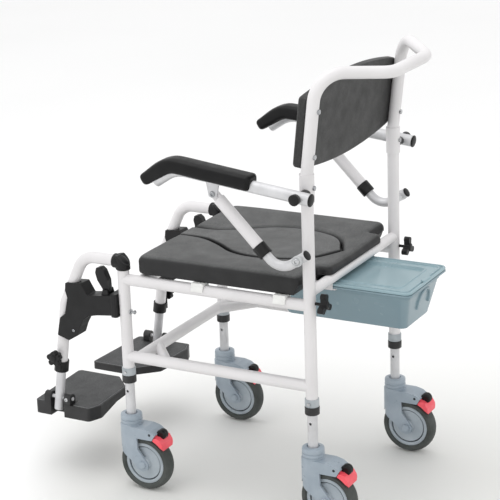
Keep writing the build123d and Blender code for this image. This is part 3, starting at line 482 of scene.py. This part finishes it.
def inside(outline, points):
    """Distance of each plan point inside a counterclockwise outline, and the direction inwards."""
    start = np.array([(p[0], p[1]) for p in outline])
    run = np.roll(start, -1, axis=0) - start
    length = np.linalg.norm(run, axis=1)
    normals = np.stack([-run[:, 1], run[:, 0]], axis=1) / length[:, None]
    depth, inward = np.empty(len(points)), np.empty((len(points), 2))
    for first in range(0, len(points), 4000):
        part = points[first:first + 4000]
        offset = part[:, None, :] - start[None]
        along = np.clip((offset * run[None]).sum(-1) / length ** 2, 0, 1)
        gap = offset - along[..., None] * run[None]
        nearest = (gap ** 2).sum(-1).argmin(1)
        rows = np.arange(len(part))
        depth[first:first + 4000] = (gap[rows, nearest] * normals[nearest]).sum(-1)
        inward[first:first + 4000] = normals[nearest]
    return depth, inward


def round_edges(mesh_data, outline, half, top_round, bottom_round):
    """Rolls the points near the top and bottom edges of a slab on to a quarter circle."""
    points = points_of(mesh_data)
    depth, inward = inside(outline, points[:, :2])
    for sign, radius in ((1, top_round), (-1, bottom_round)):
        rise = sign * points[:, 2] - (half - radius)
        back = radius - depth
        near = (rise > 0) & (back > 0)
        reach = np.hypot(rise, back)
        scale = np.where(near, radius / np.maximum(reach, 1e-6), 1.0)
        points[:, 2] = np.where(near, sign * (half - radius + rise * scale), points[:, 2])
        points[:, :2] += np.where(near, back * (1 - scale), 0.0)[:, None] * inward
    set_points(mesh_data, points)


def spline_points(points, per_span=8):
    """A smooth open curve through points, by Catmull-Rom spans."""
    found = []
    padded = [points[0] * 2 - points[1], *points, points[-1] * 2 - points[-2]]
    for a, b, c, d in zip(padded, padded[1:], padded[2:], padded[3:]):
        for step in range(per_span):
            t = step / per_span
            found.append(0.5 * (
                2 * b + (c - a) * t + (2 * a - 5 * b + 4 * c - d) * t * t + (3 * b - a - 3 * c + d) * t ** 3
            ))
    return [*found, points[-1]]


def smoothstep(value, low, high):
    t = min(max((value - low) / (high - low), 0.0), 1.0)
    return t * t * (3 - 2 * t)


# ---- seat: pad and keyhole insert -------------------------------------------------------
seat_low, seat_high = (Vector(corner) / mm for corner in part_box("seat_pad"))
seat_half = seat_high.x
rear, front = REAR_Y / mm, FRONT_Y / mm
front_edge, back_edge, tongue_edge = seat_low.y, rear - 20.0, seat_high.y
tongue_half = 128.0
tongue_floor = 519.4
CHANNEL_HALF = 31.0
KEYHOLE_SIDE = [(32, -345), (58, -292), (95, -238), (108, -180), (97, -110), (66, -62), (0, -27)]
seat_corners = [
    (seat_half, front_edge), (seat_half, back_edge), (tongue_half, back_edge), (tongue_half, tongue_edge),
    (-tongue_half, tongue_edge), (-tongue_half, back_edge), (-seat_half, back_edge), (-seat_half, front_edge),
]
seat_radii = [24, 20, 8, 14, 14, 8, 20, 24]


def keyhole(grow):
    """Right, tip and left of the opening in plan; a negative grow gives the insert."""
    mouth = Vector((CHANNEL_HALF, front_edge))
    side = spline_points([mouth, *(Vector((x, rear + y)) for x, y in KEYHOLE_SIDE)])
    right = [Vector((CHANNEL_HALF + grow, front_edge))]
    for before, here, after in zip(side, side[1:], side[2:]):
        along = (after - before).normalized()
        right.append(here + Vector((along.y, -along.x)) * grow)
    tip = Vector((0.0, side[-1].y + grow))
    return [*right, tip, *(Vector((-p.x, p.y)) for p in reversed(right))]


HOLLOW_Y = rear - 185.0     # middle of the hollow the sitter makes
DIP_DEPTH, BROW_DEPTH, INSERT_CROWN = 4.6, 2.4, 1.6
pad_outline = [*rounded_polygon(seat_corners, seat_radii), *reversed(keyhole(0.0))]
insert_outline = keyhole(-2.8)
seat_mesh = slab("seat_cushion", pad_outline, seat_high.z - seat_low.z, 15.0, 6.0)
points = points_of(seat_mesh)
x, y, z = points.T
upper = np.clip((z - 2.0) / 12.0, 0, 1)
reach = np.hypot(x / 118.0, (y - HOLLOW_Y) / 168.0)
dip = 1 - np.clip((reach - 0.92) / 0.63, 0, 1)
dip = dip * dip * (3 - 2 * dip)
brow = np.clip((np.abs(x) - 150.0) / 80.0, 0, 1) ** 2 + np.clip((front_edge + 90.0 - y) / 100.0, 0, 1) ** 2
z = z + (seat_high.z + seat_low.z) / 2 - upper * (DIP_DEPTH * dip + BROW_DEPTH * brow)
lift = np.clip((y - (back_edge - 16.0)) / 12.0, 0, 1)
z = np.maximum(z, seat_low.z + (tongue_floor - seat_low.z) * lift * lift * (3 - 2 * lift))
set_points(seat_mesh, np.stack([x, y, z], axis=1))
cushion = made("seat_cushion", seat_mesh, SEAT, "seat", ["seat_pad"], 0)

lid_low, lid_high = (Vector(corner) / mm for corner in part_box("seat_lid"))
insert_mesh = slab("seat_insert_pad", insert_outline, lid_high.z - lid_low.z, 4.5, 2.0, 2.4)
points = points_of(insert_mesh)
x, y, z = points.T
crown = np.clip(1 - np.hypot(x / 112.0, (y - HOLLOW_Y) / 160.0), 0, 1)
z = z + (lid_high.z + lid_low.z) / 2 + np.clip(z / 6.0, 0, 1) * INSERT_CROWN * np.sqrt(crown)
set_points(insert_mesh, np.stack([x, y, z], axis=1))
insert = made("seat_insert_pad", insert_mesh, INSERT, "seat_insert", ["seat_lid"], 0)

# The step round the opening that carries the insert.
LEDGE_WIDTH = 9.0
ledge_top, ledge_bottom = lid_low.z - 0.3, seat_low.z
ledge_rings = [
    [Vector((edge.x, edge.y, level)) * mm for edge, level in (
        (outer, ledge_top), (inner, ledge_top), (inner, ledge_bottom), (outer, ledge_bottom))]
    for outer, inner in zip(keyhole(0.5), keyhole(-LEDGE_WIDTH))
]
made("seat_ledge", from_rings("seat_ledge", ledge_rings), SEAT, "seat", (), 40)

# ---- backrest pad ------------------------------------------------------------------------
BACK_LEAN = math.radians(7.0)
PAD_THICKNESS = 20.0
pad_low, pad_high = (Vector(corner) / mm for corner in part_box("backrest_pad"))
PAD_HALF_HEIGHT, PAD_CROWN = 72.0, 19.0
CROWN_STEPS = 24
PAD_CORNER, EDGE_CORNER = 22, 200


def crowned_side(sign):
    """Top or bottom edge of the backrest pad, a shallow arc between its sides."""
    edge = []
    for i in range(CROWN_STEPS + 1):
        across = 1 - 2 * i / CROWN_STEPS
        rise = PAD_HALF_HEIGHT + PAD_CROWN * (1 - across ** 2)
        edge.append(Vector((sign * pad_high.x * across, sign * rise)))
    return edge


back_corners = [*crowned_side(1), *crowned_side(-1)]
pad_ends = (0, CROWN_STEPS, CROWN_STEPS + 1, 2 * CROWN_STEPS + 1)
back_radii = [PAD_CORNER if i in pad_ends else EDGE_CORNER for i in range(len(back_corners))]
back_outline = rounded_polygon(back_corners, back_radii, 4)
back_mesh = slab("back_cushion", back_outline, PAD_THICKNESS, 6.5, 2.5)
points = points_of(back_mesh)
hollow = np.clip(1 - (points[:, 0] / 200.0) ** 2, 0, 1) * np.clip(1 - (points[:, 1] / 88.0) ** 2, 0, 1)
points[:, 2] -= np.clip(points[:, 2] / 8.0, 0, 1) * 4.0 * hollow
set_points(back_mesh, points)
pad_tilt = Matrix((
    (1, 0, 0), (0, math.sin(BACK_LEAN), -math.cos(BACK_LEAN)), (0, math.cos(BACK_LEAN), math.sin(BACK_LEAN)),
)).to_4x4()
pad_middle = (pad_low + pad_high) / 2
back_mesh.transform(Matrix.Translation(pad_middle * mm) @ pad_tilt)
back_cushion = made("back_cushion", back_mesh, BACK, "frame", ["backrest_pad"], 0)

# ---- arms ----------------------------------------------------------------------------------
ARM_PATH = [
    (-98, 737.9), (-150, 744.1), (-210, 751.2), (-265.8, 757.8), (-284.5, 756.8), (-301.4, 749.9),
    (-326, 734.6), (-350, 719.7),
]


def sweep_yz(name, x, path, half_width, half_height, exponent=3.4, turn=40, end_round=9.0):
    """A moulded bar in a YZ plane: superellipse sections along a path, both ends rolled over."""
    run = [0.0]
    for before, after in zip(path, path[1:]):
        run.append(run[-1] + (after - before).length)
    total, rings = run[-1], []
    stations = sorted({*(end_round * (1 - math.cos(math.pi / 2 * i / 6)) for i in range(7)), *run[1:-1],
                       *(total - end_round * (1 - math.cos(math.pi / 2 * i / 6)) for i in range(7))})
    for station in stations:
        i = max(k for k in range(len(run) - 1) if run[k] <= station + 1e-9)
        t = (station - run[i]) / (run[i + 1] - run[i])
        middle = path[i].lerp(path[i + 1], t)
        before, after = path[max(i - 1, 0)], path[min(i + 2, len(path) - 1)]
        along = (after - before).normalized()
        up = Vector((-along.y, along.x)) if along.x > 0 else Vector((along.y, -along.x))
        end = min(station, total - station)
        swell = math.sqrt(max(1 - (1 - min(end / end_round, 1)) ** 2, 0.0)) * 0.45 + 0.55
        wide, high = half_width(station / total) * swell, half_height(station / total) * swell
        ring = []
        for step in range(turn):
            angle = 2 * math.pi * step / turn
            c, s = math.cos(angle), math.sin(angle)
            u = math.copysign(abs(c) ** (2 / exponent), c) * wide
            v = math.copysign(abs(s) ** (2 / exponent), s) * high
            ring.append(Vector((x + u, middle.x + up.x * v, middle.y + up.y * v)) * mm)
        rings.append(ring)
    return from_rings(name, rings)


# Places beside the chair are (distance from the middle plane, y from a post, height).
ARM_TAIL = (252.0, 28.0, 715.2)
TAIL_AXIS = Vector((0, 303.0, -34.6)).normalized()
ARM_PIVOT = (273.0, 3.0, 718.0)
STRUT_X = 246.0
STRUT_FOOT, STRUT_TOP = (0.0, 589.0), (-190.5, 705.5)       # y and height of a strut's pivots
FOOT_BOLT_X, STUD_X, LUG_BOLT_X = 263.8, STRUT_X - 6.4, 253.3
ROD_SLOPE = math.radians(33.5)
ROD_AXIS = Vector((0, math.cos(ROD_SLOPE), math.sin(ROD_SLOPE)))
ROD_OVERHANG = 17.0         # of the strut rod behind its lower pivot


def beside(side, x, y, z, post=rear):
    """A place on one side of the chair, in metres."""
    return Vector((side * x, post + y, z)) * mm


arm_path = spline_points([Vector((rear + y, z)) for y, z in ARM_PATH], 6)
for hand, side in SIDES.items():
    pad_mesh = sweep_yz(
        f"arm_rest_{hand}", centre(f"arm_pad_{hand}").x / mm, arm_path,
        lambda t: 23.0 - 5.0 * smoothstep(t, 0.72, 1.0), lambda t: 16.4 - 3.4 * smoothstep(t, 0.8, 1.0),
    )
    arm_rest = made(
        f"arm_rest_{hand}", pad_mesh, ARM_PAD, f"arm_{hand}", [f"arm_pad_{hand}"], 50)
    plug = dome(f"arm_plug_{hand}", beside(side, *ARM_TAIL), TAIL_AXIS, 13.2, 5.0, 2.0)
    made(f"arm_plug_{hand}", plug, BLACK, f"arm_{hand}")
    pivot_cap = dome(f"pivot_cap_{hand}", beside(side, *ARM_PIVOT), (side, 0, 0), 11.6, 5.0, 1.5)
    made(f"pivot_cap_{hand}", pivot_cap, BLACK, "frame")
    foot_bolt = pan_head(f"strut_bolt_{hand}", beside(side, FOOT_BOLT_X, *STRUT_FOOT), (side, 0, 0), 7.5, 3.6)
    made(f"strut_bolt_{hand}", foot_bolt, STEEL, "frame")
    stud = pan_head(f"strut_stud_{hand}", beside(side, STUD_X, *STRUT_TOP), (-side, 0, 0), 6.4, 2.6)
    made(f"strut_stud_{hand}", stud, STEEL, f"arm_{hand}")
    lug_bolt = pan_head(f"lug_bolt_{hand}", beside(side, LUG_BOLT_X, *STRUT_TOP), (side, 0, 0), 6.2, 3.4)
    made(f"lug_bolt_{hand}", lug_bolt, STEEL, f"arm_{hand}")
    rod_end = (Vector((side * STRUT_X, rear, STRUT_FOOT[1])) + ROD_AXIS * ROD_OVERHANG) * mm
    rod_plug = dome(f"strut_plug_{hand}", rod_end, ROD_AXIS, 10.5, 4.5, 1.8)
    made(f"strut_plug_{hand}", rod_plug, BLACK, f"strut_rod_{hand}")

# ---- casters -------------------------------------------------------------------------------
WHEEL_HALF = [
    (4.4, -17.0), (12, -17.0), (13.4, -16.2), (14.6, -11.6), (36.2, -11.2), (37.2, -10.4), (37.4, -7.0),
    (39.4, -7.0), (39.6, -12.6), (40.6, -13.4), (45.6, -13.4), (46.8, -12.6),
]
COLLAR = [
    (13.0, 169.8), (13.4, 172.0), (14.4, 172.8), (19.6, 172.6), (22.6, 171.2), (23.6, 168.8), (23.6, 162.4),
    (22.2, 161.4), (21.4, 160.4), (22.2, 159.4), (23.8, 158.6), (23.8, 154.2), (22.2, 153.2), (21.4, 152.2),
    (22.2, 151.2), (23.9, 150.4), (23.9, 146.4), (22.8, 145.0), (18.0, 145.0), (18.0, 165.0), (13.0, 165.0),
]
KNOB_HALF = [
    (0.0, -8.4), (4.0, -8.4), (5.2, -9.0), (8.6, -8.8), (10.6, -7.6), (11.6, -5.4), (11.6, -2.2),
    (10.9, -1.2),
]
GROOVE_RING = [(37.6, -9.2), (39.2, -9.2), (39.2, 9.2), (37.6, 9.2)]
PEDAL_GRIP = Vector((0, 77.0, 134.0))           # from the foot of the caster's axis
PEDAL_PIN_X, PEDAL_PIN_Y, PEDAL_PIN_Z = 22.9, 57.0, 136.0
HUB_CAP_X = 27.3


def mirrored(half):
    """Whole profile of a turned part from the half on one side of its middle."""
    return [*half, *((r, -along) for r, along in reversed(half))]


for end in ENDS:
    for hand, side in SIDES.items():
        place = f"{end}_{hand}"
        caster, wheel = f"caster_{place}", f"wheel_{place}"
        hub = centre(f"caster_tyre_{place}")
        axis_foot = Vector((side * POST_X, FRONT_Y if end == "front" else REAR_Y, 0.0))
        disc = lathe(f"{wheel}_disc", mirrored(WHEEL_HALF), hub, (1, 0, 0), 96)
        made(f"{wheel}_disc", disc, WHEEL, wheel, [f"caster_wheel_{place}"], 35)
        # A dark ring set deep in the channel between the wheel centre and its rim: painted shade in the
        # recess.
        groove_shade = lathe(f"{wheel}_groove", GROOVE_RING, hub, (1, 0, 0), 96)
        made(f"{wheel}_groove", groove_shade, GROOVE, wheel)
        collar = lathe(f"{caster}_collar", COLLAR, axis_foot, (0, 0, 1), 72)
        made(f"{caster}_collar", collar, HOUSING, caster, smooth_angle=30)
        grip_place = axis_foot + PEDAL_GRIP * mm
        grip = lathe(f"pedal_{place}_grip", mirrored(KNOB_HALF), grip_place, (1, 0, 0), 48, loop=False)
        made(f"pedal_{place}_grip", grip, BLACK, f"pedal_{place}", (), 30)
        for face, where in ((-1, "in"), (1, "out")):
            pin_place = axis_foot + Vector((face * PEDAL_PIN_X, PEDAL_PIN_Y, PEDAL_PIN_Z)) * mm
            pin = dome(f"pin_{place}", pin_place, (face, 0, 0), 3.0, 0.7, 0.3)
            made(f"pedal_{place}_pin_{where}", pin, GROOVE, caster)
            cap_place = hub + Vector((face * HUB_CAP_X, 0, 0)) * mm
            cap = dome(f"cap_{place}", cap_place, (face, 0, 0), 7.4, 1.6, 0.5)
            made(f"hub_{place}_cap_{where}", cap, HOUSING, caster)

# ---- legrests --------------------------------------------------------------------------------
PLATE_OUTLINE = [
    (31, -696), (218, -686.5), (218, -669), (193, -669), (193, -592), (218, -592), (218, -550),
    (190.5, -539), (77.5, -545), (31, -588),
]
PLATE_RADII = [6, 6, 3, 3, 3, 3, 4, 8, 8, 8]
TREAD_Z = 165.7
PLATE_SCREW = (221.3, -606.0, 178.0)
BRACKET_SCREW = (227.5, -126.0, 350.0)          # this and the latch pin: y from the front posts
LATCH_PLACE = (POST_X / mm, 12.2, 407.0)
LATCH_PIN = [
    (0.0, 0.0), (6.0, 0.0), (6.4, 1.2), (6.0, 2.4), (3.0, 3.0), (3.0, 9.0), (4.4, 9.6), (4.4, 12.4),
    (3.2, 13.4), (0.0, 13.4),
]
ELBOW_PATH = [(0.0, 500.5), (-0.2, 506.0), (-3.6, 513.6), (-11.0, 518.0), (-22.0, 519.0)]
REAR_KNOB_Z = 486.0
elbow_path = spline_points([Vector((front + y, z)) for y, z in ELBOW_PATH], 5)
for hand, side in SIDES.items():
    plate, hanger = f"footplate_{hand}", f"hanger_{hand}"
    corners = [(side * px, rear + py) for px, py in PLATE_OUTLINE]
    if side < 0:
        corners.reverse()
    outline = rounded_polygon(corners, PLATE_RADII[::side])
    tread = slab(f"{plate}_tread", outline, 2.4, 2.2, 0.1, 1.2, 1)
    tread.transform(Matrix.Translation((0, 0, TREAD_Z * mm)))
    made(f"{plate}_tread", tread, PLATE, plate, (), 0)
    screw = pan_head(f"{plate}_screw", beside(side, *PLATE_SCREW), (side, 0, 0), 4.6, 2.6)
    made(f"{plate}_screw", screw, STEEL, plate)
    screw = pan_head(f"bracket_{hand}_screw", beside(side, *BRACKET_SCREW, front), (side, 0, 0), 3.4, 1.8)
    made(f"bracket_{hand}_screw", screw, STEEL, hanger)
    elbow = sweep_yz(
        f"{hanger}_elbow", side * POST_X / mm, elbow_path, lambda t: 15.8, lambda t: 15.6, 2.0, 40, 2.5)
    made(f"{hanger}_elbow", elbow, BLACK, hanger, (), 60)
    latch_place = beside(side, *LATCH_PLACE, front)
    latch = lathe(f"latch_pin_{hand}", LATCH_PIN, latch_place, (0, 1, 0), 32, loop=False)
    made(f"latch_pin_{hand}", latch, STEEL, "frame")
    knob = centre(f"clamp_knob_{hand}")
    knob.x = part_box(f"clamp_knob_{hand}")[1 if side > 0 else 0][0]
    clamp_cap = dome(f"clamp_{hand}_cap", knob, (side, 0, 0), 8.0, 2.6, 0.6)
    made(f"clamp_{hand}_cap", clamp_cap, BLACK, f"clamp_knob_{hand}")
    knob = centre(f"rear_lock_knob_{hand}")
    knob.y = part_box(f"rear_lock_knob_{hand}")[1][1]
    knob.z = REAR_KNOB_Z * mm
    rear_cap = dome(f"rear_knob_{hand}_cap", knob, (0, 1, 0), 8.5, 3.0, 0.8)
    made(f"rear_knob_{hand}_cap", rear_cap, BLACK, f"rear_knob_{hand}")

# ---- pan and its cover -------------------------------------------------------------------------
pan_low, pan_high = (Vector(corner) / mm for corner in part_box("pan_bucket"))
pan_y = (pan_low.y + pan_high.y) / 2
pan_long = (pan_high.y - pan_low.y) / 2
rim = pan_high.z
pan_floor = pan_low.z
TUB = [     # half width, half length, corner radius, height
    (58, 133, 12, pan_floor), (62.5, 137, 14, pan_floor + 0.8), (64.6, 139, 16, pan_floor + 3.4),
    (88.2, 153.4, 18, rim - 15.5), (89.0, 154.0, 18, rim - 14.2), (91.2, 155.6, 18, rim - 13.8),
    (92.4, 156.2, 18, rim - 5.6), (100.4, 163.4, 15, rim - 4.6), (102, 165, 15, rim - 3.6),
    (102, 165, 15, rim - 0.9), (101.2, 164.2, 15, rim), (94, 157.5, 17, rim), (90.6, 154.4, 17, rim - 1.4),
    (88.6, 152.8, 17, rim - 12.0), (63, 137, 14, pan_floor + 4.0), (57, 131, 10, pan_floor + 2.4),
]
tub = from_rings("pan_tub", [rounded_rectangle(w, h, r, z, (0, pan_y)) for w, h, r, z in TUB])
made("pan_tub", tub, PAN, "pan", ["pan_bucket"], 24)
lid_z = rim + 0.3
COVER = [
    (98, 161, 14, lid_z), (100.6, 163.6, 15, lid_z + 0.5), (101.6, 164.6, 15, lid_z + 1.6),
    (101.6, 164.6, 15, lid_z + 4.6), (100.4, 163.4, 14, lid_z + 6.0), (97.4, 160.4, 13, lid_z + 6.0),
    (96.2, 159.2, 13, lid_z + 3.6), (93.2, 156.2, 12, lid_z + 3.6), (92.0, 155.0, 12, lid_z + 6.0),
    (89.4, 152.4, 12, lid_z + 6.0), (87.8, 150.8, 11, lid_z + 4.2), (72, 134, 12, lid_z + 4.2),
    (70.4, 132.4, 12, lid_z + 6.0), (67.6, 129.6, 12, lid_z + 6.0), (64, 126, 10, lid_z + 1.4),
    (30, 90, 8, lid_z + 1.4),
]
cover = from_rings("pan_cover_panel", [rounded_rectangle(w, h, r, z, (0, pan_y)) for w, h, r, z in COVER])
made("pan_cover_panel", cover, PAN_LID, "pan_cover", ["pan_lid"], 24)
latch_rings = [
    rounded_rectangle(w, h, r, z, (0, pan_y + pan_long - 7.5))
    for w, h, r, z in ((18, 5.0, 4, lid_z + 5.2), (17.6, 4.6, 4, lid_z + 7.6), (16.4, 3.6, 3, lid_z + 8.5))
]
latch_tab = from_rings("pan_cover_latch", latch_rings)
made("pan_cover_latch", latch_tab, PAN_LID, "pan_cover", (), 30)



def rear_wall(x, z):
    """Point on the outside of the pan's rear wall."""
    low_z, high_z = pan_floor + 3.4, rim - 15.5
    t = (z - low_z) / (high_z - low_z)
    return Vector((x, pan_y + 139.0 + t * (153.4 - 139.0), z))


# The moulded finger grip on the rear wall, an arch of a round bead.
GRIP_MIDDLE, GRIP_HALF, GRIP_FOOT, GRIP_RISE, GRIP_RADIUS = -8.0, 30.0, rim - 54.0, 36.0, 3.6
grip_path = spline_points([
    rear_wall(GRIP_MIDDLE + u * GRIP_HALF, GRIP_FOOT + v * GRIP_RISE)
    for u, v in ((-1.0, 0.0), (-0.96, 0.45), (-0.62, 0.9), (0.0, 1.0), (0.62, 0.9), (0.96, 0.45), (1.0, 0.0))
], 6)
grip_rings = []
wall_out = Vector((0, 0.99, -0.17)).normalized()
for i, point in enumerate(grip_path):
    ahead = (grip_path[min(i + 1, len(grip_path) - 1)] - grip_path[max(i - 1, 0)]).normalized()
    across = ahead.cross(wall_out)
    grip_rings.append([
        (point + (wall_out * math.cos(a) + across * math.sin(a)) * GRIP_RADIUS) * mm
        for a in (2 * math.pi * step / 20 for step in range(20))
    ])
made("pan_grip", from_rings("pan_grip", grip_rings), PAN, "pan", (), 60)

# ---- room, lights and camera --------------------------------------------------------------------
room = bpy.data.meshes.new("floor")
FLOOR_REACH = 40.0
floor_corners = [(x * FLOOR_REACH, y * FLOOR_REACH, 0) for x, y in ((-1, -1), (1, -1), (1, 1), (-1, 1))]
room.from_pydata(floor_corners, [], [(0, 1, 2, 3)])
floor_object = bpy.data.objects.new("floor", room)
bpy.context.scene.collection.objects.link(floor_object)
ground = Finish("pale_floor", Specular_IOR_Level=0.2)
TOWARDS_CAMERA = (0.8755, 0.4834, 0.0)
ACROSS_PICTURE = (-0.4834, 0.8755, 0.0)


def ramp_along(direction, low, high):
    """Smooth ramp of the floor's position along a direction, in metres."""
    product = ground.node("ShaderNodeVectorMath", operation="DOT_PRODUCT")
    ground.link(ground.where, product.inputs[0])
    product.inputs[1].default_value = direction
    return ground.ranged(product.outputs["Value"], low, high)


# Painted shade: the floor turns from pale to a darker tone towards the camera and across one side of the
# picture, standing in for light falling off round the chair.
both = ground.node("ShaderNodeMath", operation="MULTIPLY")
ground.link(ramp_along(TOWARDS_CAMERA, -1.3, 0.25), both.inputs[0])
ground.link(ramp_along(ACROSS_PICTURE, -0.60, -0.32), both.inputs[1])
pale = ground.ramp(ground.noise(0.8, 2.0), 0.35, 0.65, rgb(250, 250, 250), rgb(252, 252, 252))
painted_floor_shade = ground.ramp(ground.noise(0.8, 2.0), 0.35, 0.65, rgb(229, 229, 226), rgb(232, 232, 229))
ground.link(ground.mixed(both.outputs[0], pale, painted_floor_shade), ground.shader.inputs["Base Color"])
ground.gloss(ground.noise(3.0), 0.5, 0.6)
room.materials.append(ground.material)

world = bpy.data.worlds.new("soft_room")
bpy.context.scene.world = world
world.use_nodes = True
world.node_tree.nodes["Background"].inputs["Color"].default_value = (1.0, 1.0, 1.0, 1.0)
world.node_tree.nodes["Background"].inputs["Strength"].default_value = 0.98


def soft_light(name, place, aim, width, power):
    """A square softbox that faces a point."""
    data = bpy.data.lights.new(name, "AREA")
    data.shape = "SQUARE"
    data.size = width
    data.energy = power
    lamp = bpy.data.objects.new(name, data)
    lamp.location = place
    lamp.rotation_euler = (Vector(aim) - Vector(place)).to_track_quat("-Z", "Y").to_euler()
    bpy.context.scene.collection.objects.link(lamp)


soft_light("overhead", (0.4, -0.6, 3.4), (0, 0, 0.4), 2.6, 30.0)
soft_light("window", (2.6, 2.9, 2.4), (0, 0, 0.5), 1.8, 10.0)
soft_light("fill", (3.0, -2.6, 1.5), (0, 0, 0.5), 2.2, 6.0)

camera_data = bpy.data.cameras.new("camera")
camera = bpy.data.objects.new("camera", camera_data)
bpy.context.scene.collection.objects.link(camera)
CAMERA_PLACE = Vector((3.1759, 1.7688, 1.6547))
CAMERA_AIM = Vector((0.2132, 0.1327, 0.5831))
CAMERA_ROLL = math.radians(-1.986)
camera.matrix_world = (
    Matrix.Translation(CAMERA_PLACE)
    @ (CAMERA_AIM - CAMERA_PLACE).to_track_quat("-Z", "Y").to_matrix().to_4x4()
    @ Matrix.Rotation(CAMERA_ROLL, 4, "Z")
)
camera_data.sensor_width = 36.0
camera_data.lens = 125.84
camera_data.clip_end = 200.0
bpy.context.scene.camera = camera
bpy.context.scene.view_settings.view_transform = "Standard"
